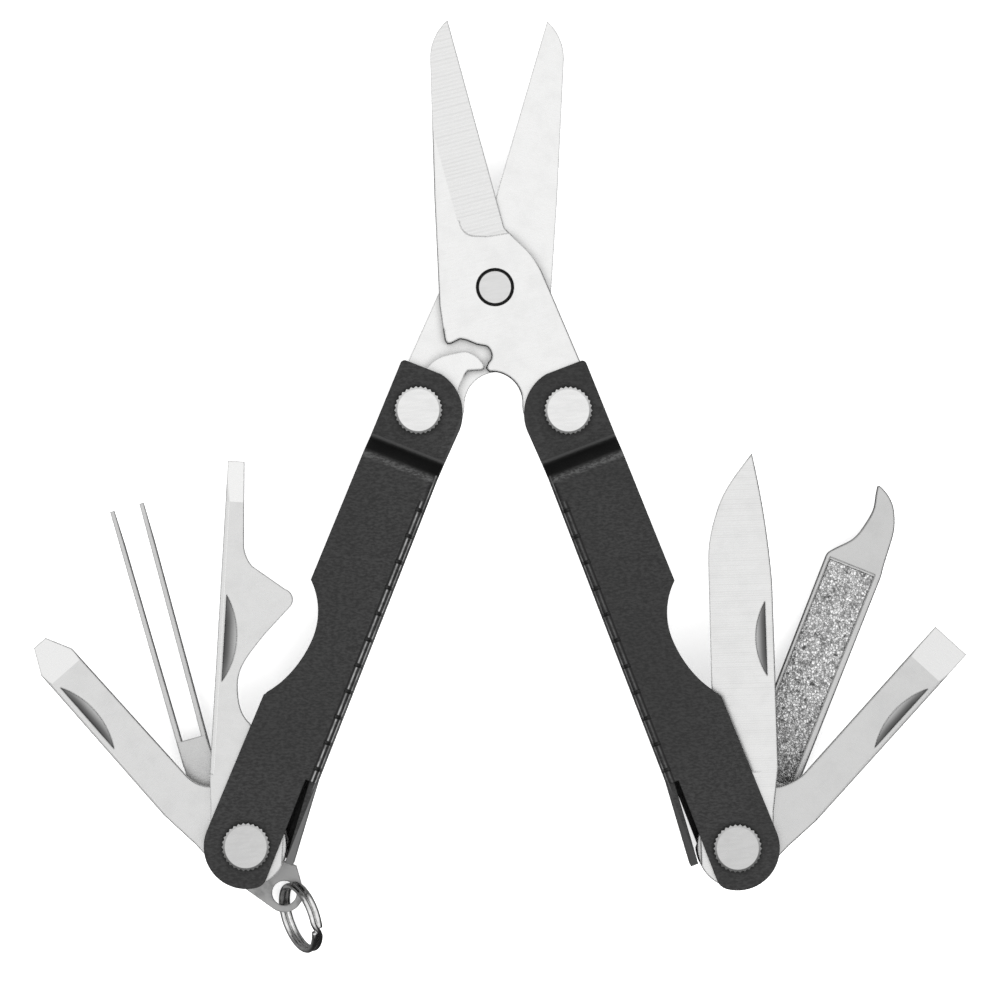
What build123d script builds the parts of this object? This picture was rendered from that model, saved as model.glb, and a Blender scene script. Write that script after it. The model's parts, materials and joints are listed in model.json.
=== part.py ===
from build123d import *
import os
from math import atan2, cos, degrees, hypot, radians, sin

# Folding pocket multi tool: spring scissors between two channel handles, three blades in each.
# Frame: origin at the scissor pivot, half way between the two scissor halves.
# +Y points along the scissors to their tips, +X to the right, +Z out of the front face.

# Sheet, layers and running fits
SHEET = 0.9            # folded handle sheet
FIT = 0.05             # radial clearance round a pin
EDGE = 0.12            # broken edge on flat steel pieces
BIG = 400.0            # longer than any piece

# Scissors
HALF_Z = (0.03, 1.53)  # one scissor half, measured from the middle plane
POST_R = (8.39, -14.17)
POST_L = (-8.78, -14.14)
REAR_TURN = 1.0        # the rear half stands open this much further
SCISSOR_HEAD_R = 1.9
SCISSOR_SEAT_R = 2.15
SCISSOR_SHANK_R = 1.4
SCISSOR_HEAD_H = 0.5
BEVEL_START = -2.2     # where the ground face starts, across the blade
BEVEL_EDGE = 2.79      # the cutting edge, on the same scale
BEVEL_LEAN = 15.2      # the cutting edge leans this far from +Y
EDGE_LAND = 0.2        # steel left at the cutting edge

# Handles, in their own frame: u from post to tool pin, v towards the web
HANDLE_LEN = 53.6
LEFT_ANGLE = 248.5
RIGHT_ANGLE = 291.1
NARROW_IN = 1.6        # half the inner width at the scissors
WIDE_IN = 4.7          # half the inner width over the tools
NARROW_OUT = NARROW_IN + SHEET
WIDE_OUT = WIDE_IN + SHEET
RAMP = (4.6, 6.4)      # outer corners of the step in the side walls
RAMP_IN_R = 0.5        # bend radius on the hollow side of a bend; the other side adds the sheet
WEB_START = 7.0
WEB_OUT = 4.9
WEB_IN = WEB_OUT - SHEET
BEND_R = 1.0
POST_END_R = 5.2
TOOL_END_R = 4.83
SLIT_U = HANDLE_LEN - 9.65
SLIT_V = 3.5
WALL_CORNER = ((2.61, 3.5), (3.34, 3.33))    # rounded end of the slit, from the tool pin
WALL_CORNER_AT = 36.0
LEFT_REAR_V = 4.8      # how far the rear wall reaches under the tongue
RIGHT_REAR_V = 4.05
TONGUE_LIFT = 0.8
TONGUE_HALF_Z = 4.4
RULE_FIRST_U = 10.6
# The marks over the two bends: pitch, count, width and depth
RULE_COARSE = (3.175, 11, 0.4, 0.28)   # eighths of an inch, front
RULE_FINE = (1.0, 33, 0.3, 0.16)       # millimetres, rear

# Pins and knurled heads
PIN_R = 1.75
HEAD_R = 2.78
HEAD_TOP_R = 2.4
HEAD_H = 0.75
HEAD_FALL = 0.17       # how far the head drops from its flat top to the knurled rim
KNURL_TEETH = 30
KNURL_DEPTH = 0.2

# Tool layers, front to back
LAYER_FRONT = (3.25, 4.6)
LAYER_SECOND = (1.72, 3.12)
LAYER_REAR = (-3.12, -1.72)
LAYER_LUG = (-4.3, -3.5)
TWEEZER_ARM_Z = (-4.45, -1.75)
SPACER_Z = (-1.65, 1.65)
REAR_SPACER_Z = (-4.62, -3.2)
SPACER_R = 3.2
TANG_FLAT = 4.15
TANG_R = 4.6
NICK_DEPTH = 0.35
GRIND_START = 8.6      # where the knife's ground faces start, past its pin
FILE_FACE_DEPTH = 0.2  # the shallow bed the file teeth stand in
BURIED_Z = 3           # how far a cutting block reaches past the face it cuts

# How far each tool stands open from its stowed place
OPEN_OPENER = 18.2
OPEN_PHILLIPS = 62.8
OPEN_TWEEZERS = 37.2
OPEN_KNIFE = 19.2
OPEN_FLAT = 63.2
OPEN_FILE = 42.9

# Lanyard lug and split ring
LUG_REACH = 7.1
LUG_ANGLE = 305.2
LUG_HOLE_R = 1.42
LUG_EYE_R = 2.2
LUG_HUB_R = 4.55
RING_WIRE_R = 0.34
RING_MEAN_R = 3.88
RING_LONG_ANGLE = 283.2
RING_TILT = 57.6
RING_AT_HOLE = 218.5   # the point of the ring that lies in the hole
RING_GAP = 0.2


def polar(centre, radius, angle):
    return (centre[0] + radius * cos(radians(angle)), centre[1] + radius * sin(radians(angle)))


TOOL_L = polar(POST_L, HANDLE_LEN, LEFT_ANGLE)
TOOL_R = polar(POST_R, HANDLE_LEN, RIGHT_ANGLE)


def outline(start, *legs):
    """A closed face. A leg is a point (a line) or a list of points (two: an arc, more: a curve)."""
    edges = []
    at = start
    for leg in legs:
        if isinstance(leg, tuple):
            edges.append(Edge.make_line(at, leg))
            at = leg
        elif len(leg) == 2:
            edges.append(Edge.make_three_point_arc(at, leg[0], leg[1]))
            at = leg[1]
        else:
            edges.append(Edge.make_spline([Vector(*at), *[Vector(*p) for p in leg]]))
            at = leg[-1]
    if at != start:
        edges.append(Edge.make_line(at, start))
    return Face(Wire(edges))


def plate(face, z):
    """The face as a plate between two heights."""
    return Pos(0, 0, z[0]) * extrude(face, amount=z[1] - z[0], dir=(0, 0, 1))


def disc(centre, radius, z):
    return Pos(centre[0], centre[1], (z[0] + z[1]) / 2) * Cylinder(radius, z[1] - z[0])


def block(low, high):
    size = [b - a for a, b in zip(low, high)]
    middle = [(a + b) / 2 for a, b in zip(low, high)]
    return Pos(*middle) * Box(*size)


def layered(part, size):
    """A flat part again, from its middle section, with the outline drawn in by size at both faces."""
    box = part.bounding_box()
    half = (box.max.Z - box.min.Z) / 2
    middle = box.min.Z + half
    face = (Pos(0, 0, -middle) * part & Rectangle(BIG, BIG)).faces()[0]
    core = plate(face, (size - half, half - size))
    front = Pos(0, 0, half - size) * extrude(face, amount=size, dir=(0, 0, 1), taper=45)
    return Pos(0, 0, middle) * (core + front + mirror(front, about=Plane.XY))


def soften(part, size=EDGE, redraw=True):
    """Breaks the edges that lie in the part's front and back faces, less where they are too tight."""
    box = part.bounding_box()
    edges = [
        e
        for e in part.edges()
        if e.length > 0.4
        and abs(e.bounding_box().size.Z) < 1e-4
        and min(abs(e.center().Z - box.min.Z), abs(e.center().Z - box.max.Z)) < 1e-4
    ]
    ways = [lambda cut: chamfer(edges, cut)]
    if redraw:
        ways.append(lambda cut: layered(part, cut))
    for broken in ways:
        for cut in (size, size * 0.7):
            try:
                return broken(cut)
            except ValueError:
                continue
    print("edges left sharp on a part", box.size)
    return part


# Scissors

def half_outline(post, notched):
    """One scissor half seen from its own side, blade to the left and arm to the right."""
    x, y = post
    foot = [
        (9.72, -8.42),
        polar(post, 3.5, 23.1),
        [polar(post, 3.5, -66.0), polar(post, 3.5, -113.0)],
        [polar(post, 4.6, -153.0), (x - 5.24, y + 0.97)],
        [(2.08, -10.72), (-0.7, -9.71)],
        (-1.06, -9.27),
    ]
    notch = [
        (-0.75, -8.57),
        [(-0.41, -7.87), (-0.53, -7.34), (-0.93, -6.81)],
        (-2.1, -6.6),
        (-3.3, -6.1),
        (-4.0, -5.96),
        (-5.05, -6.5),
        (-5.48, -6.54),
    ]
    return outline(
        (-5.46, 30.73),
        (1.03, 6.87),
        (1.69, 6.22),
        [(2.71, 5.18), (3.88, 4.01), (4.76, 2.84), (5.34, 1.82)],
        (6.51, -0.88),
        *foot,
        *(notch if notched else [(-3.4, -8.4)]),
        (-5.78, -6.08),
        (-6.36, -2.13),
        (-6.95, 10.2),
        (-7.45, 26.3),
        [(-7.0, 28.6), (-5.46, 30.73)],
    )


def scissor_half(post, notched):
    """Blade, pivot boss and arm, with the ground face on +Z."""
    half = soften(plate(half_outline(post, notched), HALF_Z), redraw=False)
    drop = HALF_Z[1] - HALF_Z[0] - EDGE_LAND
    width = BEVEL_EDGE - BEVEL_START
    slope = Plane.XZ * Pos(0, HALF_Z[1]) * Polygon(
        (BEVEL_START, 0), (BEVEL_EDGE + width, -2 * drop), (BEVEL_EDGE + width, 2),
        (BEVEL_START, 2), align=None)
    ground = Rot(0, 0, BEVEL_LEAN) * extrude(slope, amount=-40)
    run_out = plate(
        outline(
            (-12, 35), (-12, 7.6), (-4.1, 7.6),
            [(-3.55, 6.35), (-2.3, 5.85)], (-0.9, 5.8), (1.69, 6.22), (6, 7.2), (6, 35),
        ),
        (-1, 4),
    )
    half -= ground & run_out
    half -= disc((0, 0), SCISSOR_SHANK_R + FIT, (-1, 3))
    half -= disc((0, 0), SCISSOR_SEAT_R, (HALF_Z[1] - SCISSOR_HEAD_H, 3))
    half -= disc(post, PIN_R + FIT, (-1, 3))
    return half


def rear_half():
    """The mirror image of the front half without the notch, turned open a little further."""
    turned = polar((0, 0), hypot(*POST_L), degrees(atan2(POST_L[1], POST_L[0])) + REAR_TURN)
    flipped = scissor_half((-turned[0], turned[1]), False)
    return Rot(0, 0, -REAR_TURN) * Rot(0, 180, 0) * flipped


def scissor_rivet():
    head_z = HALF_Z[1] - SCISSOR_HEAD_H
    rivet = disc((0, 0), SCISSOR_SHANK_R, (-head_z, head_z))
    for low, high in ((head_z, HALF_Z[1]), (-HALF_Z[1], -head_z)):
        rivet += disc((0, 0), SCISSOR_HEAD_R, (low, high))
    return soften(rivet, 0.08)


def spring_lever():
    """The arm on the left post whose nose pushes the front half's heel."""
    x, y = POST_L
    arm = outline(
        (x - 3.1, y + 1.8),
        [(-9.6, -10.6), (-7.73, -9.17)],
        [(-6.19, -7.99), (-4.97, -7.64), (-3.47, -7.37)],
        [(-2.2, -7.9), (-1.34, -8.85)],
        [(-1.22, -9.25), (-1.5, -9.53)],
        (-3.12, -9.62),
        [(-3.9, -10.9), (-4.3, -12.2)],
        (x + 2.6, y - 2.4),
        (x, y),
    )
    lever = plate(arm, HALF_Z) + disc(POST_L, 3.6, HALF_Z)
    lever -= disc(POST_L, PIN_R + FIT, (-1, 3))
    return soften(lever)


# Handles

def side_profile(narrow, wide, shift, radii, v):
    """The channel seen edge on, with its two bends rounded, as a block from v[0] to v[1]."""
    low, high = RAMP[0] + shift, RAMP[1] + shift
    half = [(-9, narrow), (low, narrow), (high, wide), (BIG, wide)]
    points = half + [(u, -z) for u, z in reversed(half)]
    face = Polygon(*points, align=None)
    for u, radius in zip((low, high), radii):
        face = fillet([c for c in face.vertices() if abs(c.X - u) < 1e-6], radius)
    return Pos(0, v[0], 0) * extrude(Plane.XZ * face, amount=v[1] - v[0], dir=(0, 1, 0))


def rule_mark(u, side, width, depth):
    """A groove that wraps over the bend between a side wall and the web."""
    middle = (WEB_OUT - BEND_R, side * (WIDE_OUT - BEND_R))
    groove = Cylinder(BEND_R + 1, width) - Cylinder(BEND_R - depth, width)
    quarter = block((-2 if side > 0 else 0, 0, -1), (0 if side > 0 else 2, 2, 1))
    return Pos(u, *middle) * Rot(0, 90, 0) * (groove & quarter)


def handle(rear_v):
    """One folded sheet: two side walls, the web between them, and the spring tongue in the web.
    Beside the tongue the rear wall reaches further than the front one, to rear_v."""
    tool = (HANDLE_LEN, 0)
    wall = outline(
        (-4.3, -3.9),
        [(-4.65, -3.75), (-4.8, -3.4)],
        (-4.8, 0.9),
        [(-3.5, 3.5), (0.3, POST_END_R)],
        (RAMP[1], WEB_OUT),
        (SLIT_U, WEB_OUT),
        (SLIT_U, SLIT_V),
        (HANDLE_LEN + WALL_CORNER[0][0], WALL_CORNER[0][1]),
        [(HANDLE_LEN + WALL_CORNER[1][0], WALL_CORNER[1][1]), polar(tool, TOOL_END_R, WALL_CORNER_AT)],
        [polar(tool, TOOL_END_R, 0), (HANDLE_LEN, -TOOL_END_R)],
        (36.7, -4.5),
        [(32.2, -2.2), (28.5, -1.65)],
        [(25.1, -2.4), (22.5, -4.3)],
    )
    outer_radii = (RAMP_IN_R, RAMP_IN_R + SHEET)
    body = plate(wall, (-WIDE_OUT, WIDE_OUT))
    body &= side_profile(NARROW_OUT, WIDE_OUT, 0, outer_radii, (-12, 12))
    inside = (NARROW_IN, WIDE_IN, SHEET * 0.58, outer_radii[::-1])
    body -= side_profile(*inside, (-12, WEB_IN))
    body -= side_profile(*inside, (-12, 12)) & block((-10, -12, -9), (WEB_START, 12, 9))
    body += block((SLIT_U - 1, SLIT_V - 1, -WIDE_OUT), (HANDLE_LEN + 0.1, rear_v, -WIDE_IN))
    for side in (-1, 1):
        bend = Pos(0, WEB_OUT - BEND_R, side * (WIDE_OUT - BEND_R))
        low, high = sorted((0, side * BEND_R))
        corner = block((RAMP[1], 0, low), (HANDLE_LEN + 1, 2 * BEND_R, high))
        body -= bend * (corner - Rot(0, 90, 0) * Cylinder(BEND_R, BIG))
    for side, (pitch, count, width, depth) in ((1, RULE_COARSE), (-1, RULE_FINE)):
        for n in range(count):
            body -= rule_mark(RULE_FIRST_U + n * pitch, side, width, depth)
    tongue = outline(
        (SLIT_U - 0.4, WEB_IN),
        (SLIT_U - 0.4, WEB_OUT),
        (SLIT_U, WEB_OUT),
        (HANDLE_LEN + 0.1, WEB_OUT + TONGUE_LIFT),
        (HANDLE_LEN + 0.1, WEB_IN + TONGUE_LIFT),
        (SLIT_U, WEB_IN),
    )
    body += plate(tongue, (-TONGUE_HALF_Z, TONGUE_HALF_Z))
    for centre in ((0, 0), tool):
        body -= disc(centre, PIN_R, (-9, 9))
    return body


def on_left(part):
    return Pos(*POST_L, 0) * Rot(0, 0, LEFT_ANGLE) * part


def on_right(part):
    """The right handle is the left one's mirror image."""
    return Pos(*POST_R, 0) * Rot(0, 0, RIGHT_ANGLE) * mirror(part, about=Plane.XZ)


# Pins

def knurled_head(z):
    """A round head with a knurled rim, flat on the outside, standing on height z."""
    points = [
        polar((0, 0), HEAD_R - KNURL_DEPTH * (n % 2), 180 * n / KNURL_TEETH)
        for n in range(2 * KNURL_TEETH)
    ]
    rim = plate(make_face(Polyline(*points, close=True)), (0, HEAD_H))
    dome = Pos(0, 0, HEAD_H / 2) * Cylinder(HEAD_R + 0.02, HEAD_H)
    dome = chamfer(dome.edges().sort_by(Axis.Z)[-1], HEAD_FALL, HEAD_R - HEAD_TOP_R)
    return Pos(0, 0, z) * (rim & dome)


def pin(centre, outer):
    """The shaft with its rear head."""
    shaft = disc((0, 0), PIN_R, (-outer, outer + HEAD_H * 0.45))
    return Pos(*centre, 0) * (shaft + Rot(180, 0, 0) * knurled_head(outer))


def cap(centre, outer):
    """The front head, pressed onto the end of the shaft."""
    head = knurled_head(outer) - disc((0, 0), PIN_R, (outer - 1, outer + HEAD_H * 0.45))
    return Pos(*centre, 0) * head


def spacer(centre, z, radius=SPACER_R):
    return Pos(*centre, 0) * (disc((0, 0), radius, z) - disc((0, 0), PIN_R, (z[0] - 1, z[1] + 1)))


# Tools, in their own frame: p from the tool pin to the tip, q towards the web when stowed

def tang(z):
    square = block((-TANG_FLAT, -TANG_FLAT, z[0]), (TANG_FLAT, TANG_FLAT, z[1]))
    return square & disc((0, 0), TANG_R, z)


def nick(p, q, bulge, z):
    """A crescent thumbnail nick in the front face."""
    face = outline((p[0], q), [((p[0] + p[1]) / 2, bulge), (p[1], q)])
    return plate(face, (z[1] - NICK_DEPTH, z[1] + 1))


def flat_tool(face, z):
    tool = plate(face, z) + tang(z)
    tool -= disc((0, 0), PIN_R + FIT, (z[0] - 1, z[1] + 1))
    return soften(tool)


def thinned(tool, start, end, z, tip_left):
    """Grinds both faces from p = start, so that tip_left of steel is left at p = end."""
    cut = (z[1] - z[0] - tip_left) / 2
    slope = Plane.XZ * Polygon(
        (start, 0), (end, -cut), (end + 9, -cut), (end + 9, BURIED_Z), (start, BURIED_Z), align=None)
    wedge = Pos(0, -8, 0) * extrude(slope, amount=16, dir=(0, 1, 0))
    tool -= Pos(0, 0, z[1]) * wedge
    tool -= Pos(0, 0, z[0]) * mirror(wedge, about=Plane.XY)
    return tool


def spine_bevel(tool, p, q, z, width, depth):
    """A long chamfer between the front face and the back edge, from p[0] to p[1]."""
    slope = Plane.YZ * Polygon(
        (q - 1, z[1] - depth * (1 + 1 / width)), (q + width, z[1]), (q + width, z[1] + 1),
        (q - 1, z[1] + 1), align=None)
    return tool - Pos(p[0], 0, 0) * extrude(slope, amount=p[1] - p[0], dir=(1, 0, 0))


def bottle_opener():
    z = LAYER_FRONT
    face = outline(
        (-1, -TANG_FLAT),
        (4, -4.3),
        (8, -4.65),
        (43.9, -4.65),
        (43.9, -2.75),
        (34.4, -2.3),
        [(32.8, -1.8), (32.0, -1.2)],
        (29.6, 2.7),
        [(28.45, 3.65), (27.5, 3.3)],
        (24.3, 0.67),
        [(21.6, -1.16), (19.6, -2.0), (17.3, -2.0), (15.2, -1.4), (14.0, -0.4)],
        (9.0, 3.6),
        (6.5, TANG_FLAT),
        (-1, TANG_FLAT),
    )
    tool = flat_tool(face, z) - nick((18.6, 28.6), -3.9, -2.45, z)
    tool = spine_bevel(tool, (8.0, 44), -4.65, z, 0.5, 0.22)
    return thinned(tool, 39.2, 43.9, z, 0.7)


def phillips_driver():
    z = LAYER_SECOND
    face = outline(
        (-1, -TANG_FLAT),
        (4, -4.3),
        (9, -4.83),
        (30.2, -4.83),
        (33.1, -3.4),
        (33.1, -1.65),
        (30.2, -0.2),
        (10.9, 0.07),
        [(9.25, 0.35), (8.1, 1.05)],
        (5.2, TANG_FLAT),
        (-1, TANG_FLAT),
    )
    tool = flat_tool(face, z) - nick((18.3, 27.75), -4.1, -2.85, z)
    tool = spine_bevel(tool, (9.0, 30.2), -4.83, z, 0.32, 0.16)
    return thinned(tool, 28.6, 33.1, z, 0.75)


def flat_driver():
    z = LAYER_SECOND
    face = outline(
        (-1, -TANG_FLAT),
        (4, -4.3),
        (8.5, -4.75),
        (34.0, -4.75),
        (34.0, 0),
        (11.4, -0.1),
        [(9.9, 0.25), (8.4, 1.0)],
        (5.2, TANG_FLAT),
        (-1, TANG_FLAT),
    )
    tool = flat_tool(face, z) - nick((19.0, 28.2), -4.1, -2.9, z)
    tool = spine_bevel(tool, (8.5, 35), -4.75, z, 0.3, 0.16)
    return thinned(tool, 29.6, 34.0, z, 0.6)


def knife_blade():
    z = LAYER_FRONT
    face = outline(
        (-1, -TANG_FLAT),
        (4, -4.3),
        (9, -5.0),
        (30.0, -5.0),
        [(38.4, -4.25), (45.0, -3.16)],
        [(43.0, -1.56), (40.3, 0.27), (37.6, 1.36), (35.4, 1.93), (32.7, 2.2)],
        (12.0, 2.35),
        (9.5, 2.9),
        (6.5, TANG_FLAT),
        (-1, TANG_FLAT),
    )
    blade = flat_tool(face, z)
    half = (z[1] - z[0]) / 2
    slope = Polygon((-3.2, half), (2.45, 0.08), (9, 0.08), (9, 4), (-3.2, 4), align=None)
    wedge = extrude(Plane.YZ * slope, amount=50, dir=(1, 0, 0))
    grind = Pos(GRIND_START, 0, 0) * (wedge + mirror(wedge, about=Plane.XY))
    blade -= Pos(0, 0, (z[0] + z[1]) / 2) * grind
    return blade - nick((19.5, 28.1), -4.1, -2.9, z)


def nail_file():
    z = LAYER_REAR
    face = outline(
        (-1, -TANG_FLAT),
        (4, -4.15),
        (35.0, -4.1),
        [(37.1, -3.85), (38.9, -3.72), (40.5, -3.5), (41.9, -3.0),
         (43.1, -2.3), (44.0, -1.3), (44.55, -0.2)],
        [(44.55, 0.05), (44.3, 0.1)],
        [(43.5, -0.05), (41.9, -0.4), (40.0, -0.2), (37.8, 0.5), (36.5, 1.6), (35.5, 2.45)],
        [(35.2, 2.62), (34.8, 2.69)],
        (9.5, 2.5),
        (5.5, TANG_FLAT),
        (-1, TANG_FLAT),
    )
    tool = flat_tool(face, z)
    return tool - block((8.5, -3.4, z[1] - FILE_FACE_DEPTH), (34.9, 2.2, z[1] + BURIED_Z))


def tweezers():
    """A tang whose plate carries two strips that stand on edge and meet the work at their tips."""
    z = LAYER_REAR
    base = outline(
        (-1, -TANG_FLAT), (4, -4.3), (9, -4.75), (13.4, -4.75),
        (13.4, -1.35), (10.0, -1.1), (5.2, TANG_FLAT), (-1, TANG_FLAT),
    )
    tool = plate(base, z) + tang(z)
    for near, far in ((-4.8, -5.0), (-1.9, -1.5)):
        arm = outline((10.5, near), (41.1, far), (41.1, far + 0.5), (10.5, near + 0.6))
        tool += plate(arm, TWEEZER_ARM_Z)
    tip = Plane.XZ * Polygon((36.5, -4.6), (41.2, -4.6), (41.2, -2.6), align=None)
    tool -= Pos(0, -9, 0) * extrude(tip, amount=18, dir=(0, 1, 0))
    return tool - disc((0, 0), PIN_R + FIT, (-9, 9))


def place_left(tool, opened):
    """Left tools swing out anticlockwise, seen from the front; q runs clockwise of p."""
    turn = LEFT_ANGLE - 180 + opened
    return Pos(*TOOL_L, 0) * Rot(0, 0, turn) * mirror(tool, about=Plane.XZ)


def place_right(tool, opened):
    return Pos(*TOOL_R, 0) * Rot(0, 0, RIGHT_ANGLE - 180 - opened) * tool


# Lanyard lug and split ring

def lanyard_lug():
    """A flat link, cut away where it would meet the spring tongue."""
    eye = (LUG_REACH, 0)
    lean = degrees(atan2(LUG_HUB_R - LUG_EYE_R, LUG_REACH))
    tangent = 90 - lean
    link = outline(
        polar((0, 0), LUG_HUB_R, tangent),
        polar(eye, LUG_EYE_R, tangent),
        [polar(eye, LUG_EYE_R, 0), polar(eye, LUG_EYE_R, -tangent)],
        polar((0, 0), LUG_HUB_R, -tangent),
        [polar((0, 0), LUG_HUB_R, 180), polar((0, 0), LUG_HUB_R, tangent)],
    )
    lug = plate(link, LAYER_LUG)
    lug -= disc(eye, LUG_HOLE_R, (-9, 9)) + disc((0, 0), PIN_R + FIT, (-9, 9))
    lug = Pos(*TOOL_L, 0) * Rot(0, 0, LUG_ANGLE) * lug
    return lug - on_left(block((SLIT_U, WEB_IN + 0.3, -9), (HANDLE_LEN + 0.45, WEB_OUT + 2, 9)))


def split_ring():
    """Two touching turns of wire, open at one cut end."""
    turn = Circle(RING_WIRE_R)
    section = Pos(RING_MEAN_R, RING_WIRE_R * 0.96) * turn + Pos(RING_MEAN_R, -RING_WIRE_R * 0.96) * turn
    ring = revolve(Plane.XZ * section, Axis.Z)
    cut = block((RING_MEAN_R - 1, -RING_GAP / 2, 0), (RING_MEAN_R + 1, RING_GAP / 2, 2))
    ring -= Rot(0, 0, 62) * cut
    hole = polar(TOOL_L, LUG_REACH, LUG_ANGLE)
    middle = Plane(
        origin=(*hole, (LAYER_LUG[0] + LAYER_LUG[1]) / 2),
        x_dir=Vector(*polar((0, 0), 1, RING_LONG_ANGLE), 0),
        z_dir=Vector(0, 0, 1),
    )
    at = polar((0, 0), RING_MEAN_R, RING_AT_HOLE)
    lie = Rot(RING_TILT, 0, 0) * Pos(-at[0], -at[1], 0) * ring
    return middle.location * lie


def parts():
    """Every node of the assembly by name."""
    nodes = {
        "scissor_half_front": scissor_half(POST_R, True),
        "scissor_half_rear": rear_half(),
        "scissor_rivet": scissor_rivet(),
        "spring_lever": spring_lever(),
        "left_handle": on_left(handle(LEFT_REAR_V)),
        "right_handle": on_right(handle(RIGHT_REAR_V)),
        "bottle_opener": place_left(bottle_opener(), OPEN_OPENER),
        "phillips_driver": place_left(phillips_driver(), OPEN_PHILLIPS),
        "tweezers": place_left(tweezers(), OPEN_TWEEZERS),
        "knife_blade": place_right(knife_blade(), OPEN_KNIFE),
        "flat_driver": place_right(flat_driver(), OPEN_FLAT),
        "nail_file": place_right(nail_file(), OPEN_FILE),
        "lanyard_lug": lanyard_lug(),
        "split_ring": split_ring(),
        "right_post_spacer": spacer(POST_R, (-HALF_Z[1], -HALF_Z[0])),
        "left_tool_spacer": spacer(TOOL_L, SPACER_Z),
        "right_tool_spacer": spacer(TOOL_R, SPACER_Z),
        "right_rear_spacer": spacer(TOOL_R, REAR_SPACER_Z),
    }
    posts = {
        "left_post": (POST_L, NARROW_OUT),
        "right_post": (POST_R, NARROW_OUT),
        "left_tool": (TOOL_L, WIDE_OUT),
        "right_tool": (TOOL_R, WIDE_OUT),
    }
    for name, (centre, outer) in posts.items():
        nodes[name + "_pin"] = pin(centre, outer)
        nodes[name + "_cap"] = cap(centre, outer)
    return nodes


os.makedirs("parts", exist_ok=True)
for node, shape in parts().items():
    shape.label = node
    export_step(shape, f"parts/{node}.step")
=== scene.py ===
import json
import math
import random

import bpy
from mathutils import Matrix, Vector

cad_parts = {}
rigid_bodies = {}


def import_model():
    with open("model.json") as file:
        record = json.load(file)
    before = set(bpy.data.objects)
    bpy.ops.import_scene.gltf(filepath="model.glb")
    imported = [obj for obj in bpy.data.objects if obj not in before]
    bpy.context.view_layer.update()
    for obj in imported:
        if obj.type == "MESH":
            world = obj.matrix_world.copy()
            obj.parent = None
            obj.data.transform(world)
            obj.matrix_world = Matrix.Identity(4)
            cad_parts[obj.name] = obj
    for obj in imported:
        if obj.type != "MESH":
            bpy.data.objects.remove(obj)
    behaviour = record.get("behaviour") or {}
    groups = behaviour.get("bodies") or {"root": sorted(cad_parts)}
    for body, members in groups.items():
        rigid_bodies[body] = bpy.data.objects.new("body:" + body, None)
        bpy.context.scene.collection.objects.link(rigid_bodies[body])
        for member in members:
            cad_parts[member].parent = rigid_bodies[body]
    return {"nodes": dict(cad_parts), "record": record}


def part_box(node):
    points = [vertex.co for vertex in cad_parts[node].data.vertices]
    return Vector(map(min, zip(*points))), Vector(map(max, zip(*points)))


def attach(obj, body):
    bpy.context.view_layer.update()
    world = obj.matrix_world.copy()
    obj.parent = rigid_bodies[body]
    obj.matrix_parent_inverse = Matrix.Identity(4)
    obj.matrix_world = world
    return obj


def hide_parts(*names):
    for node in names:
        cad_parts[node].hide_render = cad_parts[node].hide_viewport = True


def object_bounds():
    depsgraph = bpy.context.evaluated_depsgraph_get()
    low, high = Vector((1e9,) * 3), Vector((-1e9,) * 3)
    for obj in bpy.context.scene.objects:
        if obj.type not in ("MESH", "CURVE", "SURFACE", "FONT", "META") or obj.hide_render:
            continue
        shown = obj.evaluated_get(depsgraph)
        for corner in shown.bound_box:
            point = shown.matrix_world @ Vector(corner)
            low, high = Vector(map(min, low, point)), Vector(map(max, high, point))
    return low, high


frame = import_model()
cad_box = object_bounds()

MM = 0.001

# The view and the light
VIEW_WIDTH = 114.94 * MM     # what the picture's width covers at the height of the scissors
VIEW_CENTRE = Vector((0.57, -24.42, 0)) * MM
CAMERA_HEIGHT = 800 * MM
SENSOR = 36.0
NEAR_CLIP = 0.01
TABLE_SIZE = 3.0
TABLE_GAP = 0.02 * MM
TABLE_GLOW = 0.6
LAMP_PLACE = Vector((0.1, -0.4, 0.9))
LAMP_SIZE = 0.8
LAMP_WATTS = 9.0
TOP_LIGHT = 1.0
SIDE_LIGHT = (0.02, 0.22)    # the dark side and the light side of the room

# Places on a handle in millimetres: u from its post to its tool pin, v towards its web, z to the front
RULED_U = (9.6, 43.9)        # the stretch of the bend with rule marks
RULE_FIRST_U = 10.6
RULE_PITCH = 3.175
STEP_HEAD_U = (4.5, 4.62)    # the step in the side walls has a painted highlight on its head, painted shade on its ramp and a painted highlight on its foot
STEP_RAMP_U = (5.05, 6.1)
STEP_FOOT_U = (6.7, 6.95)
RIM_U = (6.2, 43.9)          # the painted highlight on the bend's rim
RIM_V = (4.66, 4.74)
RIM_Z = (4.2, 4.6)
BEND_LINE_V = (3.92, 4.06)   # the painted shade line in the crease where the bend starts
HIGHLIGHT_STRIP_V = (4.2, 4.3)        # the painted highlight strip between the rule marks
WEB_U = (9, 30)              # where the web takes on its tone, painted for the light it catches
WEB_V = (4.8, 4.87)
SMOOTH_V = (3.7, 3.9)        # where the coat's grain fades into the bend
GLOSS_V = (3.75, 3.95)       # where it turns a little glossier
FRONT_Z = (5.2, 5.5)         # the front of the bend, where the marks show

# The coat's tones, from black 0 to white 1
COAT_SPECKS = (0.009, 0.031)
COAT_CLOUD = 0.008
COAT_SHADE = 0.003           # on the step's ramp, and close to other pieces
COAT_CREASE_SHADE = 0.002
# the tone of the painted highlights on the bend
COAT_HIGHLIGHT = 0.4
COAT_STEP_HEAD_HIGHLIGHT = 0.055
COAT_STEP_FOOT_HIGHLIGHT = 0.07

# Grain sizes, in patches a metre
COAT_GRAIN = 4600
COAT_CLOUDS = 60
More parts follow.
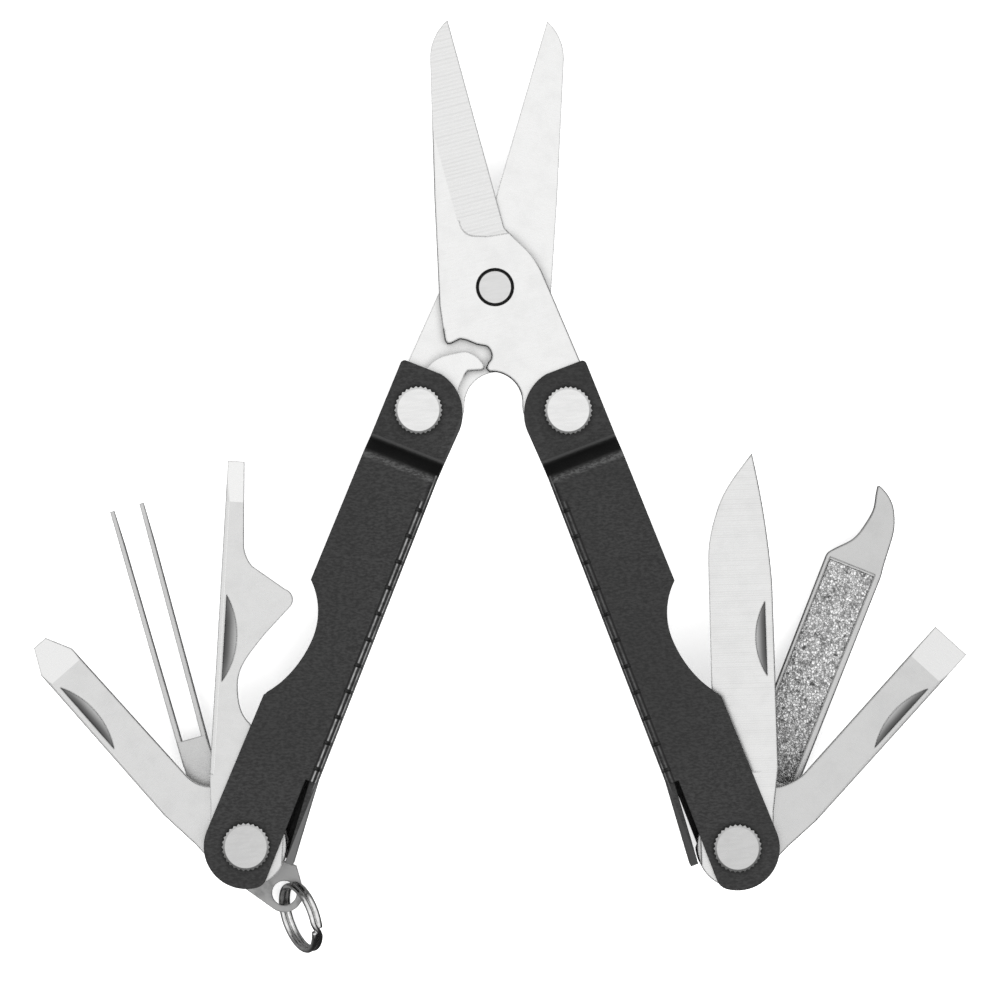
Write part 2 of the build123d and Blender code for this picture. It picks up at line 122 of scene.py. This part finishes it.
# patches that break up the painted highlights on the bend
COAT_HIGHLIGHT_BREAKS = 900
SATIN_GRAIN = 6500
SATIN_SMUDGES = 420
CUT_DEPTHS = 2600
TURNED_GRAIN = 2200
TURNED_CLOUDS = 700
DRAWN_GRAIN = 1500
GRIT_CELLS = 3300
GRIT_PITS = 1500
TABLE_GRAIN = 400

# How far off a neighbour casts painted shade on the coat or the steel, in millimetres
COAT_SHADOW_REACH = 0.9
STEEL_SHADOW_REACH = 1.1

# Steel, with lengths in millimetres
LEVEL = (0.985, 0.998)       # a face whose normal's z is below the first leans, above the second it is flat
WAVE_RADIANS = 20            # how far the wave node turns in one unit of its scaled coordinate
RIM_ROUND_R = 0.6            # how far round its edge the painted rim shade shows
TURNED_RIM_R = (2.34, 2.44)  # where a knurled head's rim starts
RIVET_GAP_SHADE_R = 2.2           # the painted shade in the gap round the scissor rivet
NOTCH = ((-6.3, 3.4), (-12.2, -4.9))         # x and y of the front half's notch, where rims get painted shade
LEVER_NOSE = ((-3.4, -0.9), (-10.5, -9.2))   # the same for the spring lever's nose
NICK_SHADE_TONES = ((0, 0.08), (0.3, 0.16), (0.75, 0.36), (1, 0.5))
GRIT_TONES = ((0, 0.3), (0.3, 0.6), (0.75, 0.85), (1, 1.0))

# The file's sunk bed and its grit, in millimetres from the file's pin
FILE_BED_P = (8.55, 34.75)
FILE_BED_Q = (-3.36, 2.16)
GRIT_STEP = 0.12             # how far apart the peaks stand
GRIT_BASE = 0.22             # how far below the file's face the grit starts
GRIT_PEAKS = (0.04, 0.06, 0.07, 0.09, 0.13)
GRIT_SHIFT = 0.03            # how far a peak may stray sideways
GRIT_MARGIN = (0.2, 0.16)    # how far the painted shade along the bed's edge reaches in, along p and q

# The split ring's wire
RING_WIRE_R = 0.345 * MM
RING_CROSSING = math.radians(34)    # how much of a turn the wire takes to change sides
RING_ENDS_GAP = math.radians(7)
RING_CUT_AT = math.radians(62)
RING_STEPS = 400
RING_INSET = 1.08            # wire radii from the outermost point of the CAD ring to the wire's middle
RING_APART = 1.01            # wire radii from the ring's middle plane to each turn

# Each tool's joint and finish, as steel() takes it. A nick's third number, the height of the face it
# is cut in, is added from the node.
TOOLS = {
    "bottle_opener": {
        "joint": "opener_swing", "tone": 0.73, "tip": (39.2, 0.9), "nick": ((18.6, 28.6), (-3.9, -2.4))},
    "phillips_driver": {
        "joint": "phillips_swing", "tone": 0.71, "tip": (28.6, 0.85), "nick": ((18.3, 27.8), (-4.1, -2.8))},
    "tweezers": {"joint": "tweezer_swing", "tone": 0.62},
    "knife_blade": {
        "joint": "knife_swing", "tone": 0.82, "lines": (0.27, 0.16), "nick": ((19.5, 28.1), (-4.1, -2.85))},
    "flat_driver": {
        "joint": "flat_swing", "tone": 0.65, "tip": (29.6, 0.81), "nick": ((19.0, 28.2), (-4.1, -2.85))},
    "nail_file": {"joint": "file_swing", "tone": 0.61},
}
TIP_GROUND = 0.95            # the tone of the faces that lean, on a tool with a ground tip

random.seed(7)

JOINTS = {j["name"]: j for j in frame["record"]["behaviour"]["joints"]}


def place(joint):
    return Vector(JOINTS[joint]["pos_m"])


def heading(a, b):
    return math.atan2(b.y - a.y, b.x - a.x)


LEFT_POST = place("left_fold")
RIGHT_POST = place("right_fold")
LEFT_TOOL = place("opener_swing")
RIGHT_TOOL = place("knife_swing")


def tool_axes(joint):
    """A tool's pin and the way it points at rest: it is stowed along its handle at its lowest joint value."""
    j = JOINTS[joint]
    left = j["parent"] == "left_grip"
    pin = LEFT_TOOL if left else RIGHT_TOOL
    stowed = heading(pin, LEFT_POST if left else RIGHT_POST)
    return pin, stowed - math.radians(j["range_deg"][0]) * j["axis"][2]


# Node graphs

def grey(value):
    return (value, value, value, 1)


def warm(value):
    return (value, value * 0.999, value * 0.995, 1)


class Graph:
    """A node tree, with short calls for the nodes used here."""

    def __init__(self, tree):
        self.tree = tree
        self.coords = self.node("ShaderNodeTexCoord").outputs

    def feed(self, socket, value):
        """Links the socket to another node's output, or sets its number or colour."""
        if isinstance(value, bpy.types.NodeSocket):
            self.tree.links.new(value, socket)
        else:
            socket.default_value = value

    def node(self, kind, inputs=(), **settings):
        made = self.tree.nodes.new(kind)
        for key, value in settings.items():
            setattr(made, key, value)
        for key, value in dict(inputs).items():
            self.feed(made.inputs[key], value)
        return made

    def math(self, operation, a, b=0.0):
        return self.node("ShaderNodeMath", {0: a, 1: b}, operation=operation).outputs[0]

    def product(self, first, *others):
        for other in others:
            first = self.math("MULTIPLY", first, other)
        return first

    def distance(self, x, y):
        return self.math("SQRT", self.math("ADD", self.product(x, x), self.product(y, y)))

    def local(self, origin=(0, 0, 0), angle=0.0, scale=(1, 1, 1)):
        """Object coordinates measured from origin, along angle, in units of scale."""
        inputs = {
            "Vector": self.coords["Object"], "Location": origin, "Rotation": (0, 0, angle), "Scale": scale}
        return self.node("ShaderNodeMapping", inputs, vector_type="TEXTURE").outputs[0]

    def axes(self, vector):
        return self.node("ShaderNodeSeparateXYZ", {0: vector}).outputs[:]

    def noise(self, vector, scale, detail, roughness):
        inputs = {"Vector": vector, "Scale": scale, "Detail": detail, "Roughness": roughness}
        return self.node("ShaderNodeTexNoise", inputs).outputs["Fac"]

    def spread(self, value, low, high, start=0.3, end=0.7):
        """Maps start..end of a value to low..high."""
        inputs = {"Value": value, 1: start, 2: end, 3: low, 4: high}
        return self.node("ShaderNodeMapRange", inputs, interpolation_type="SMOOTHSTEP").outputs[0]

    def fade(self, value, low, high, limits):
        """Goes from low to high between two limits in millimetres."""
        return self.spread(value, low, high, limits[0] * MM, limits[1] * MM)

    def band(self, value, limits, soft):
        """1 between two limits in millimetres, falling to 0 over soft on both sides."""
        rise = self.fade(value, 0, 1, (limits[0] - soft, limits[0]))
        fall = self.fade(value, 1, 0, (limits[1], limits[1] + soft))
        return self.product(rise, fall)

    def ramp(self, factor, stops):
        """Greys along a factor. stops are (place, tone)."""
        made = self.node("ShaderNodeValToRGB", {0: factor})
        elements = made.color_ramp.elements
        while len(elements) < len(stops):
            elements.new(0.5)
        for element, (at, tone) in zip(elements, stops):
            element.position = at
            element.color = grey(tone)
        return made.outputs[0]

    def mix(self, factor, a, b):
        return self.node("ShaderNodeMix", {0: factor, 6: a, 7: b}, data_type="RGBA").outputs[2]

    def openness(self, reach, samples):
        """How open the surroundings are, out to reach in millimetres: 1 is open, 0 is a closed corner."""
        inputs = {"Distance": reach * MM}
        return self.node("ShaderNodeAmbientOcclusion", inputs, samples=samples).outputs["AO"]

    def rounded(self, radius, samples):
        """The normal with edges rounded by a radius in millimetres."""
        return self.node("ShaderNodeBevel", {"Radius": radius * MM}, samples=samples).outputs[0]


class Finish(Graph):
    """A material's nodes, which end at its shader."""

    def __init__(self, name):
        self.material = bpy.data.materials.new(name)
        self.material.use_nodes = True
        super().__init__(self.material.node_tree)

    def done(self, bumps=(), edge=0.16, **sockets):
        """Sets the shader's sockets, the bumps as (height, distance) and the rounding of the edges.
        Distances are in millimetres."""
        shader = self.tree.nodes["Principled BSDF"]
        for key, value in sockets.items():
            self.feed(shader.inputs[key.replace("_", " ")], value)
        normal = self.rounded(edge, 4)
        for height, distance in bumps:
            inputs = {"Height": height, "Distance": distance * MM, "Strength": 1.0, "Normal": normal}
            normal = self.node("ShaderNodeBump", inputs).outputs[0]
        self.feed(shader.inputs["Normal"], normal)
        return self.material


# Materials

def powder_coat(name, post, angle, web_side, strip, rim, web):
    """Dark matte coat with a fine even skin. strip and rim are how strong the painted highlights are
    between the rule marks and on the bend's rim, and web is the web's tone, painted for the light it catches."""
    g = Finish(name)
    u, v, z = g.axes(g.local(post, angle))
    v = g.product(v, web_side)
    skin = g.noise(g.local(post, 0, (2.2, 1, 1)), COAT_GRAIN, 3, 0.7)
    cloud = g.noise(g.local(), COAT_CLOUDS, 2, 0.5)
    colour = g.mix(g.spread(skin, 0, 1, 0.34, 0.68), *map(grey, COAT_SPECKS))
    colour = g.mix(g.spread(cloud, 0, 0.3), colour, grey(COAT_CLOUD))

    # The bend: a painted shade line where it starts, a painted highlight strip broken by the rule marks, a
    # painted highlight on its rim
    ruled = g.product(g.fade(z, 0, 1, FRONT_Z), g.band(u, RULED_U, 0.1))
    colour = g.mix(g.product(g.band(v, BEND_LINE_V, 0.06), ruled), colour, grey(COAT_CREASE_SHADE))
    marks = g.math("DIVIDE", g.math("SUBTRACT", u, RULE_FIRST_U * MM), RULE_PITCH * MM)
    from_mark = g.math("ABSOLUTE", g.math("SUBTRACT", g.math("FRACT", marks), 0.5))
    between_marks = g.spread(from_mark, 1, 0, 0.4, 0.44)
    uneven = g.spread(g.noise(g.local(), COAT_HIGHLIGHT_BREAKS, 2, 0.6), 0.45, 1, 0.35, 0.6)
    painted_strip_highlight = g.product(g.band(v, HIGHLIGHT_STRIP_V, 0.07), ruled, between_marks, strip, uneven)
    painted_rim_highlight = g.product(g.band(v, RIM_V, 0.05), g.fade(z, 0, 1, RIM_Z), g.band(u, RIM_U, 1.6), rim, uneven)
    for painted_highlight in (painted_strip_highlight, painted_rim_highlight):
        colour = g.mix(painted_highlight, colour, grey(COAT_HIGHLIGHT))

    # The step in the side walls with its painted highlights and shade, the web's painted tone, and the
    # painted shadow of whatever is close
    colour = g.mix(g.product(g.band(u, STEP_HEAD_U, 0.22), 0.8), colour, grey(COAT_STEP_HEAD_HIGHLIGHT))
    speckled_highlight = g.product(g.band(u, STEP_FOOT_U, 0.4), g.spread(skin, 0.2, 1, 0.4, 0.62))
    colour = g.mix(speckled_highlight, colour, grey(COAT_STEP_FOOT_HIGHLIGHT))
    colour = g.mix(g.product(g.fade(v, 0, 1, WEB_V), g.fade(u, 0.15, 1, WEB_U)), colour, grey(web))
    shadow = g.spread(g.openness(COAT_SHADOW_REACH, 4), 0.7, 0, 0.4, 0.85)
    for dark in (shadow, g.band(u, STEP_RAMP_U, 0.3)):
        colour = g.mix(dark, colour, grey(COAT_SHADE))

    grain = g.product(skin, g.fade(v, 1, 0.2, SMOOTH_V))
    rough = g.math("SUBTRACT", g.spread(skin, 0.42, 0.55), g.fade(v, 0, 0.12, GLOSS_V))
    return g.done(
        bumps=((grain, 0.02),), edge=0.14, Base_Color=colour, Roughness=rough, Specular_IOR_Level=0.33)


def cross_lines(g, vector, pitch):
    """Even grinding lines across the piece, pitch millimetres apart, a little wavering."""
    scale = math.tau / WAVE_RADIANS / (pitch * MM)
    inputs = {
        "Vector": vector, "Scale": scale, "Distortion": 0.7,
        "Detail": 2.0, "Detail Scale": 2.0, "Detail Roughness": 0.5}
    return g.node("ShaderNodeTexWave", inputs, bands_direction="X").outputs["Fac"]


def nick_shade(g, colour, p, q, z, nick):
    """Painted shade on a thumbnail nick's floor: darkest half way along its first q limit, and lighter
    towards the second limit and both ends."""
    along, across, top = nick
    inside = g.product(
        g.band(p, along, 0.02), g.band(q, across, 0.02), g.fade(z, 1, 0, (top - 0.25, top - 0.05)))
    from_middle = g.math("ABSOLUTE", g.math("SUBTRACT", p, sum(along) / 2 * MM))
    away = g.math("ADD", g.fade(q, 0, 1, across), g.fade(from_middle, 0, 0.3, (1.5, 5)))
    return g.mix(inside, colour, g.ramp(away, NICK_SHADE_TONES))


def painted_rim_shade(g, colour, where):
    """Paints shade on the rounded rims inside a box given as x and y limits."""
    x, y, _ = g.axes(g.local())
    upright = g.axes(g.rounded(RIM_ROUND_R, 6))[2]
    inside = g.product(g.band(x, where[0], 0.4), g.band(y, where[1], 0.4))
    return g.mix(g.product(inside, g.spread(upright, 1, 0, 0.82, 0.985)), colour, grey(0.05))


def steel(name, pin, angle, tone, rough=0.28, side=1, mottle=0.05, edge=0.24, lines=None, ground=None,
          tip=None, nick=None, crevice=None, rims=None, well=None):
    """Satin steel, with places measured from pin along angle: p along the piece and q across it.
    side turns q over for the left tools, mottle is how much darker the cloudy patches are, and edge
    is how far the edges are rounded. lines is the (pitch, strength) of grinding lines, ground the tone
    of faces that lean, tip the (p, tone) of a freshly ground end, nick the p, q and top of a thumbnail
    nick, crevice how much painted shade the corners get, rims where rounded rims get painted shade, and
    well the radius of the painted shade in the gap round a rivet."""
    g = Finish(name)
    here = g.local(pin, angle)
    p, q, z = g.axes(here)
    q = g.product(q, side)
    satin = g.noise(g.local(pin, angle, (1, 4, 4)), SATIN_GRAIN, 3, 0.6)
    smudge = g.noise(g.local(), SATIN_SMUDGES, 4, 0.62)
    colour = g.mix(g.spread(satin, 0, 1, 0.34, 0.66), warm(tone * 0.98), warm(min(tone * 1.02, 0.99)))
    colour = g.mix(g.spread(smudge, 0, 1, 0.42, 0.72), colour, warm(tone * (1 - mottle)))
    if ground:
        upright = g.math("ABSOLUTE", g.axes(g.coords["Normal"])[2])
        colour = g.mix(g.spread(upright, 1, 0, *LEVEL), colour, warm(ground))
    if tip:
        tip_start, tip_tone = tip
        colour = g.mix(g.fade(p, 0, 1, (tip_start, tip_start + 0.08)), colour, warm(tip_tone))
    if lines:
        pitch, strength = lines
        deep = g.noise(g.local(pin, angle, (1, 30, 30)), CUT_DEPTHS, 2, 0.5)
        cut = g.product(cross_lines(g, here, pitch), g.spread(deep, 0.3, 1, 0.35, 0.65), strength)
        if ground:
            cut = g.product(cut, g.spread(upright, 1, 0.15, *LEVEL))
        colour = g.mix(cut, colour, warm(tone * 0.5))
    if nick:
        colour = nick_shade(g, colour, p, q, z, nick)
    if crevice:
        # painted shade in corners, from how closed the surroundings are
        closed = g.spread(g.openness(STEEL_SHADOW_REACH, 6), 1, 0, 0.3, 0.95)
        colour = g.mix(g.product(closed, crevice), colour, grey(0.1))
    if rims:
        colour = painted_rim_shade(g, colour, rims)
    if well:
        # painted shade in the gap round a rivet
        colour = g.mix(g.fade(g.distance(p, q), 1, 0, (well - 0.02, well)), colour, grey(0.02))
    return g.done(
        bumps=((satin, 0.0015),), edge=edge, Base_Color=colour,
        Roughness=g.spread(satin, rough - 0.03, rough + 0.04), Metallic=1.0)


def turned_steel(name, centre, tone=0.86, rough=0.26):
    """Satin steel for heads, pins and spacers. A head's knurled rim has painted shade at the bottom and
    painted light at the top.
    """
    g = Finish(name)
    x, y, _ = g.axes(g.local(centre))
    satin = g.noise(g.local(centre, 0.1, (6, 1, 1)), TURNED_GRAIN, 3, 0.6)
    cloud = g.noise(g.local(), TURNED_CLOUDS, 3, 0.6)
    colour = g.mix(g.spread(satin, 0, 1, 0.35, 0.65), warm(tone * 0.97), warm(tone * 1.03))
    colour = g.mix(g.spread(cloud, 0, 0.6, 0.55, 0.75), colour, warm(tone * 0.94))
    # painted shade on the knurled rim's lower side and painted light on its upper side
    rim = g.mix(g.fade(y, 0, 1, (-1.6, 2.2)), warm(tone * 0.3), warm(tone * 0.95))
    colour = g.mix(g.fade(g.distance(x, y), 0, 1, TURNED_RIM_R), colour, rim)
    return g.done(
        bumps=((satin, 0.002),), edge=0.06, Base_Color=colour,
        Roughness=g.spread(cloud, rough - 0.03, rough + 0.05), Metallic=1.0)


def polished_steel():
    g = Finish("polished_steel")
    drawn = g.noise(g.local(), DRAWN_GRAIN, 3, 0.6)
    return g.done(
        bumps=((drawn, 0.003),), edge=0.04, Base_Color=g.mix(g.spread(drawn, 0, 1), warm(0.7), warm(0.9)),
        Roughness=g.spread(drawn, 0.08, 0.16), Metallic=1.0)


def file_grit(pin, angle):
    """Bright crushed grit with dark gaps and a few dark pits, with painted shade along the bed's edges."""
    g = Finish("file_grit")
    p, q, _ = g.axes(g.local(pin, angle))
    grains = {"Vector": g.local(), "Scale": GRIT_CELLS}
    cells = g.node("ShaderNodeTexVoronoi", grains, feature="F1")
    gaps = g.node("ShaderNodeTexVoronoi", grains, feature="DISTANCE_TO_EDGE")
    tone = g.axes(cells.outputs["Color"])[0]
    pits = g.noise(g.local(), GRIT_PITS, 2, 0.6)
    colour = g.mix(
        g.spread(gaps.outputs["Distance"], 0.8, 0, 0.02, 0.2), g.ramp(tone, GRIT_TONES), grey(0.16))
    colour = g.mix(g.spread(pits, 0, 0.85, 0.6, 0.68), colour, grey(0.06))
    # outside this, the bed's edges get painted shade
    inside = g.product(
        g.band(p, (FILE_BED_P[0] + GRIT_MARGIN[0], FILE_BED_P[1] - GRIT_MARGIN[0]), 0.12),
        g.band(q, (FILE_BED_Q[0] + GRIT_MARGIN[1], FILE_BED_Q[1] - GRIT_MARGIN[1]), 0.12))
    return g.done(
        bumps=((cells.outputs["Distance"], 0.025),), edge=0.02, Base_Color=g.mix(inside, grey(0.09), colour),
        Roughness=g.spread(tone, 0.3, 0.5, 0.0, 1.0), Metallic=0.6)


def table_top():
    """Pale table that glows a little, so that shadows on it stay faint."""
    g = Finish("table_top")
    fine = g.noise(g.local(), TABLE_GRAIN, 2, 0.5)
    return g.done(
        Base_Color=g.mix(fine, grey(0.9), grey(0.92)), Roughness=0.9, Specular_IOR_Level=0.1,
        Emission_Color=grey(1), Emission_Strength=TABLE_GLOW)


# Pieces made here

def mesh_piece(name, vertices, faces, material, smooth=True):
    data = bpy.data.meshes.new(name)
    data.from_pydata([tuple(v) for v in vertices], [], faces)
    data.update()
    piece = bpy.data.objects.new(name, data)
    bpy.context.scene.collection.objects.link(piece)
    data.materials.append(material)
    for polygon in data.polygons:
        polygon.use_smooth = smooth
    return piece


def tube(name, path, radius, material, sides=20):
    """A round wire along a path, closed by flat ends."""
    vertices = []
    faces = []
    side_way = None
    for i, at in enumerate(path):
        ahead = (path[min(i + 1, len(path) - 1)] - path[max(i - 1, 0)]).normalized()
        side_way = ahead.orthogonal().normalized() if side_way is None else side_way
        side_way = (side_way - ahead * side_way.dot(ahead)).normalized()
        up = ahead.cross(side_way)
        for k in range(sides):
            a = math.tau * k / sides
            vertices.append(at + (side_way * math.cos(a) + up * math.sin(a)) * radius)
    for i in range(len(path) - 1):
        for k in range(sides):
            a, b = i * sides + k, i * sides + (k + 1) % sides
            faces.append((a, b, b + sides, a + sides))
    faces.append(tuple(reversed(range(sides))))
    faces.append(tuple(range((len(path) - 1) * sides, len(path) * sides)))
    return mesh_piece(name, vertices, faces, material)


def split_ring():
    """Two turns of wire that cross from one side of the ring to the other over a short stretch."""
    points = [v.co for v in frame["nodes"]["split_ring"].data.vertices]
    low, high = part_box("split_ring")
    centre = (low + high) / 2
    mean_r = max((v - centre).length for v in points) - RING_WIRE_R * RING_INSET
    across = max(points, key=lambda v: v.z) - centre
    along = Vector((across.y, -across.x, 0)).normalized()
    across = (across - along * across.dot(along)).normalized()
    normal = along.cross(across)
    path = []
    turns = 2 * math.tau - RING_ENDS_GAP
    for i in range(RING_STEPS + 1):
        a = turns * i / RING_STEPS
        rise = min(max((a - math.tau + RING_CROSSING / 2 + RING_ENDS_GAP / 2) / RING_CROSSING, 0), 1)
        rise = rise * rise * (3 - 2 * rise)
        round_to = RING_CUT_AT + RING_ENDS_GAP / 2 + a
        flat = along * math.cos(round_to) + across * math.sin(round_to)
        path.append(centre + flat * mean_r + normal * (2 * rise - 1) * RING_WIRE_R * RING_APART)
    ring = tube("wound_split_ring", path, RING_WIRE_R, polished_steel())
    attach(ring, "ring")
    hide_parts("split_ring")


def file_face():
    """Crushed grit bonded in the file's sunk face: an uneven sheet of small peaks."""
    pin, angle = tool_axes("file_swing")
    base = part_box("nail_file")[1].z - GRIT_BASE * MM
    low, high = (Vector(corner) * MM for corner in zip(FILE_BED_P, FILE_BED_Q))
    step = GRIT_STEP * MM
    columns = int((high.x - low.x) / step)
    rows = int((high.y - low.y) / step)
    turn = Matrix.Rotation(angle, 3, "Z")
    vertices = []
    faces = []
    for i in range(columns + 1):
        for j in range(rows + 1):
            peak, shift_x, shift_y = 0, 0, 0
            if i not in (0, columns) and j not in (0, rows):
                peak = random.choice(GRIT_PEAKS) * MM
                shift_x = random.uniform(-GRIT_SHIFT, GRIT_SHIFT) * MM
                shift_y = random.uniform(-GRIT_SHIFT, GRIT_SHIFT) * MM
            at = Vector((low.x + step * i + shift_x, low.y + step * j + shift_y, 0))
            vertices.append(pin + turn @ at + Vector((0, 0, base + peak)))
    for i in range(columns):
        for j in range(rows):
            a = i * (rows + 1) + j
            faces.append((a, a + rows + 1, a + rows + 2, a + 1))
    grit = mesh_piece("file_grit_face", vertices, faces, file_grit(pin, angle), smooth=False)
    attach(grit, "file")


# Finishes on the CAD nodes

def dress(node, material):
    """Gives a CAD node its material."""
    data = frame["nodes"][node].data
    data.materials.clear()
    data.materials.append(material)


def dress_handles():
    """The left bend gets a bright painted highlight, and the right one hardly shows."""
    dress("left_handle", powder_coat(
        "left_coat", LEFT_POST, heading(LEFT_POST, LEFT_TOOL), web_side=1, strip=0.6, rim=0.6, web=0.1))
    dress("right_handle", powder_coat(
        "right_coat", RIGHT_POST, heading(RIGHT_POST, RIGHT_TOOL), web_side=-1, strip=0.1, rim=0.3, web=0.03))


def dress_scissors():
    """Grinding lines run square to each blade, so each half has its own angle."""
    pivot = (0, 0, 0)
    dress("scissor_half_front", steel(
        "front_half_steel", pivot, math.radians(105.2), 0.89,
        lines=(0.45, 0.2), ground=0.86, rims=NOTCH, well=RIVET_GAP_SHADE_R))
    dress("scissor_half_rear", steel(
        "rear_half_steel", pivot, math.radians(73.8), 0.9, lines=(0.3, 0.03), crevice=0.5, well=RIVET_GAP_SHADE_R))
    dress("scissor_rivet", turned_steel("rivet_steel", pivot, 0.72, 0.3))
    dress("spring_lever", steel(
        "lever_steel", LEFT_POST, math.radians(35), 0.9, edge=0.28, crevice=0.35, rims=LEVER_NOSE))


def dress_tools():
    for node, finish in TOOLS.items():
        finish = dict(finish)
        joint = finish.pop("joint")
        pin, angle = tool_axes(joint)
        finish["side"] = 1 if JOINTS[joint]["parent"] == "right_grip" else -1
        if "nick" in finish:
            finish["nick"] = (*finish["nick"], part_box(node)[1].z / MM)
        if "tip" in finish:
            finish["ground"] = TIP_GROUND
        dress(node, steel(node + "_steel", pin, angle, **finish))
    dress("lanyard_lug", steel("lug_steel", LEFT_TOOL, 0, 0.4, 0.34, mottle=0.45))


def dress_pins():
    """Every pin, cap and spacer is turned steel, brighter on the posts than on the tool pins."""
    pins = {
        "left_post": (LEFT_POST, 0.82), "right_post": (RIGHT_POST, 0.82),
        "left_tool": (LEFT_TOOL, 0.6), "right_tool": (RIGHT_TOOL, 0.6)}
    for name, (centre, tone) in pins.items():
        material = turned_steel(name + "_steel", centre, tone)
        for node in frame["nodes"]:
            if node.startswith(name):
                dress(node, material)
    dress("right_rear_spacer", turned_steel("spacer_steel", RIGHT_TOOL))
    dress("split_ring", turned_steel("plain_ring_steel", LEFT_TOOL))


# Stage

def table_lamp():
    """A soft lamp that the steel doesn't mirror."""
    data = bpy.data.lights.new("table_light", "AREA")
    data.shape = "RECTANGLE"
    data.size = LAMP_SIZE
    data.size_y = LAMP_SIZE
    data.energy = LAMP_WATTS
    lamp = bpy.data.objects.new("table_light", data)
    bpy.context.scene.collection.objects.link(lamp)
    lamp.location = LAMP_PLACE
    lamp.rotation_euler = (VIEW_CENTRE - LAMP_PLACE).to_track_quat("-Z", "Y").to_euler()
    lamp.visible_glossy = False


def studio_world():
    """White above and dark round the sides, least so towards the top left of the picture."""
    world = bpy.data.worlds.new("studio")
    world.use_nodes = True
    g = Graph(world.node_tree)
    x, y, z = g.axes(g.coords["Generated"])
    facing = g.math("SUBTRACT", g.product(y, 0.8), g.product(x, 0.45))
    sides = g.spread(facing, *SIDE_LIGHT, -0.8, 0.8)
    above = g.spread(z, 0, 1, 0.2, 0.85)
    lift = g.product(g.math("SUBTRACT", TOP_LIGHT, sides), above)
    background = g.tree.nodes["Background"]
    g.feed(background.inputs["Color"], grey(1))
    g.feed(background.inputs["Strength"], g.math("ADD", sides, lift))
    return world


def table():
    half = TABLE_SIZE / 2
    z = cad_box[0].z - TABLE_GAP
    corners = [(-half, -half, z), (half, -half, z), (half, half, z), (-half, half, z)]
    top = mesh_piece("table_top", corners, [(0, 1, 2, 3)], table_top())
    top.visible_glossy = False


def look_down():
    """The picture's camera, straight above the tool."""
    data = bpy.data.cameras.new("camera")
    data.sensor_width = SENSOR
    data.lens = SENSOR * CAMERA_HEIGHT / VIEW_WIDTH
    data.clip_start = NEAR_CLIP
    camera = bpy.data.objects.new("camera", data)
    camera.location = VIEW_CENTRE + Vector((0, 0, CAMERA_HEIGHT))
    bpy.context.scene.collection.objects.link(camera)
    bpy.context.scene.camera = camera


bpy.context.scene.view_settings.view_transform = "Standard"
bpy.context.scene.world = studio_world()
table()
table_lamp()
look_down()
dress_handles()
dress_scissors()
dress_tools()
dress_pins()
split_ring()
file_face()
